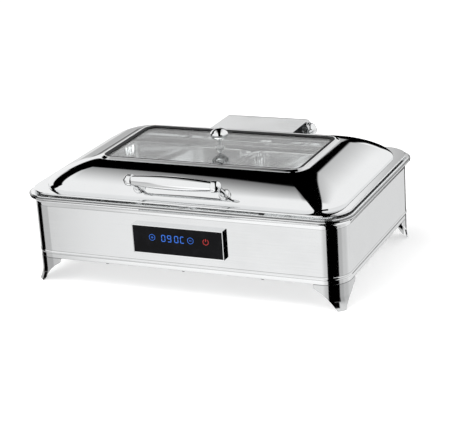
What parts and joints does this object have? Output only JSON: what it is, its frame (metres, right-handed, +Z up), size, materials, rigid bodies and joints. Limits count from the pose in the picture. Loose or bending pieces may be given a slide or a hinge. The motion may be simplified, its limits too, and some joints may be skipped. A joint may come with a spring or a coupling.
{
  "type": "electric chafing dish",
  "caption": "Electric chafing dish: steel water bath on bracket feet with a touch panel, food pans inside and a hinged domed lid with a glass window.",
  "frame": {"origin": "on the table, under the middle of the whole part with its lid closed", "axes": "+X to the right as seen from the front, +Y to the back where the hinge is, +Z up"},
  "size_m": [0.6, 0.4528, 0.2423],
  "materials": {
    "wall_steel": "satin brushed sheet",
    "lid_steel": "mirror polished",
    "pan_steel": "satin drawn sheet",
    "trim_steel": "polished",
    "screw_steel": "plain zinc",
    "clear_glass": "clear tempered",
    "panel_black": "glossy touch panel",
    "seal_rubber": "matt silicone",
    "clear_silicone": "translucent silicone",
    "heater_metal": "rolled",
    "bush_brass": "turned",
    "damper_paint": "dark lacquer",
    "board_green": "solder mask",
    "relay_blue": "moulded",
    "inlet_black": "moulded",
    "wire_jacket": "sleeved"
  },
  "bodies": {
    "base": {"body_shell": "wall_steel", "bottom_cover": "wall_steel", "cover_screws": "screw_steel", "foot_front_left": "wall_steel", "foot_front_right": "wall_steel", "foot_back_left": "wall_steel", "foot_back_right": "wall_steel", "foot_screws": "screw_steel", "water_pan": "pan_steel", "divider_bar": "pan_steel", "food_pan_left": "pan_steel", "food_pan_right": "pan_steel", "heater_plate": "heater_metal", "heating_element": "heater_metal", "heater_clamps": "screw_steel", "clamp_screws": "screw_steel", "probe_block": "heater_metal", "temperature_probe": "screw_steel", "thermal_cutout": "relay_blue", "control_bezel": "trim_steel", "control_glass": "panel_black", "display_board": "board_green", "bezel_nuts": "screw_steel", "power_board": "board_green", "board_standoffs": "bush_brass", "relay": "relay_blue", "transformer": "damper_paint", "terminal_block": "board_green", "power_inlet": "inlet_black", "inlet_pins": "trim_steel", "inlet_screws": "screw_steel", "mains_wires": "wire_jacket", "heater_wires": "wire_jacket", "probe_wire": "wire_jacket", "display_cable": "wire_jacket", "hinge_bracket": "wall_steel", "bracket_screws": "screw_steel", "hinge_pin": "trim_steel", "hinge_caps": "trim_steel"},
    "lid": {"lid_shell": "lid_steel", "window_frame": "lid_steel", "window_gasket": "seal_rubber", "window_glass": "clear_glass", "vent_cap": "lid_steel", "vent_stem": "trim_steel", "vent_washer": "clear_silicone", "vent_nut": "trim_steel", "handle_grip": "lid_steel", "handle_post_left": "lid_steel", "handle_post_right": "lid_steel", "handle_screws": "screw_steel", "lid_arm": "wall_steel", "arm_screws": "screw_steel", "hinge_bushes": "bush_brass", "hinge_damper": "damper_paint", "lid_bumpers": "seal_rubber"}
  },
  "joints": [
    {"name": "lid_hinge", "type": "hinge", "parent": "base", "child": "lid", "pos_m": [0, 0.2074, 0.179], "axis": [-1, 0, 0], "range_deg": [0, 90]}
  ]
}
